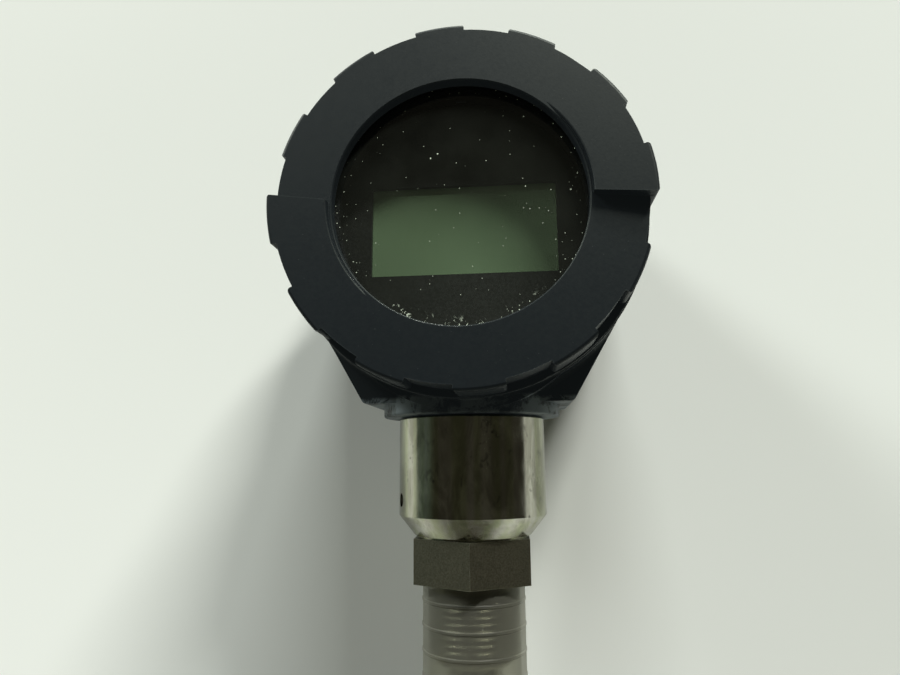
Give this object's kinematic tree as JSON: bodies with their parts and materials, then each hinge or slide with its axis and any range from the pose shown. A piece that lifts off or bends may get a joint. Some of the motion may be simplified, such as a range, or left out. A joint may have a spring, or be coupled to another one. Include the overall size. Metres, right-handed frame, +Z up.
{
  "type": "pressure transmitter",
  "caption": "Field pressure transmitter: a round two-cover aluminium housing with a display window on a turned steel sensor body with a hexagon and a capped process thread.",
  "frame": {"origin": "on the stem axis at the underside of the hexagon, where the process thread starts", "axes": "+Z up the stem away from the process; -Y towards the display window; X along the cable entries"},
  "size_m": [0.0873, 0.0708, 0.1532],
  "materials": {
    "painted_aluminium": "fine-textured matt dark slate paint on cast aluminium, chipped at the edges",
    "polished_steel": "polished turned stainless steel, duller hexagon",
    "sintered_steel": "porous sintered stainless steel",
    "cell_steel": "satin turned stainless steel",
    "dark_steel": "black oxide steel",
    "plug_steel": "satin nickel-plated steel",
    "zinc_steel": "bright zinc-plated steel",
    "ring_aluminium": "black anodised aluminium",
    "brass": "turned brass",
    "seal_rubber": "matt black nitrile rubber",
    "gasket_rubber": "thin black fibre-rubber gasket",
    "black_plastic": "moulded matt black plastic",
    "bezel_plastic": "smooth black plastic",
    "terminal_plastic": "moulded dark green-grey plastic",
    "potting_resin": "cast dark resin",
    "circuit_board": "green solder resist on glass epoxy",
    "display_glass": "reflective liquid crystal display",
    "window_glass": "clear float glass with dust specks",
    "milky_plastic": "translucent milky polyethylene"
  },
  "bodies": {
    "sensor": {"sensor_body": "polished_steel", "vent_filter": "sintered_steel", "sensor_cell": "cell_steel", "cell_oring": "seal_rubber", "cell_retaining_ring": "cell_steel", "sensor_board": "circuit_board", "neck_oring": "seal_rubber"},
    "electronics_housing": {"housing": "painted_aluminium", "housing_lock_screw": "dark_steel", "conduit_plug": "plug_steel", "conduit_seal": "seal_rubber", "module_cup": "black_plastic", "module_potting": "potting_resin", "module_screws": "zinc_steel", "main_board": "circuit_board", "board_connector": "black_plastic", "display_standoffs": "brass", "display_board": "circuit_board", "display_screws": "zinc_steel", "lcd_panel": "display_glass", "display_bezel": "bezel_plastic", "terminal_block": "terminal_plastic", "terminal_plates": "brass", "terminal_washers": "zinc_steel", "terminal_screws": "zinc_steel", "earth_washer_inner": "zinc_steel", "earth_screw_inner": "brass", "earth_washer_outer": "zinc_steel", "earth_screw_outer": "zinc_steel"},
    "window_cover_seal": {"front_seal": "seal_rubber"},
    "window_cover": {"front_cover": "painted_aluminium", "window_gasket": "gasket_rubber", "window_glass": "window_glass", "glass_retaining_ring": "ring_aluminium"},
    "blind_cover_seal": {"rear_seal": "seal_rubber"},
    "blind_cover": {"rear_cover": "painted_aluminium"},
    "thread_protector": {"thread_cap": "milky_plastic"}
  },
  "joints": [
    {"name": "housing_swivel", "type": "hinge", "parent": "sensor", "child": "electronics_housing", "pos_m": [0, 0, 0.0424], "axis": [0, 0, 1], "range_deg": [-180, 180]},
    {"name": "window_cover_travel", "type": "slide", "parent": "electronics_housing", "child": "window_cover_seal", "axis": [0, -1, 0], "range_m": [0, 0.005]},
    {"name": "window_cover_turn", "type": "hinge", "parent": "window_cover_seal", "child": "window_cover", "pos_m": [0, 0, 0.0836], "axis": [0, -1, 0], "range_deg": [0, 1200]},
    {"name": "blind_cover_travel", "type": "slide", "parent": "electronics_housing", "child": "blind_cover_seal", "axis": [0, 1, 0], "range_m": [0, 0.005]},
    {"name": "blind_cover_turn", "type": "hinge", "parent": "blind_cover_seal", "child": "blind_cover", "pos_m": [0, 0, 0.0836], "axis": [0, 1, 0], "range_deg": [0, 1200]},
    {"name": "cap_pull", "type": "slide", "parent": "sensor", "child": "thread_protector", "axis": [0, 0, -1], "range_m": [0, 0.045]}
  ],
  "couplings": [
    {"joint": "window_cover_travel", "follows": "window_cover_turn", "m_per_rad": 0.00023873},
    {"joint": "blind_cover_travel", "follows": "blind_cover_turn", "m_per_rad": 0.00023873}
  ]
}
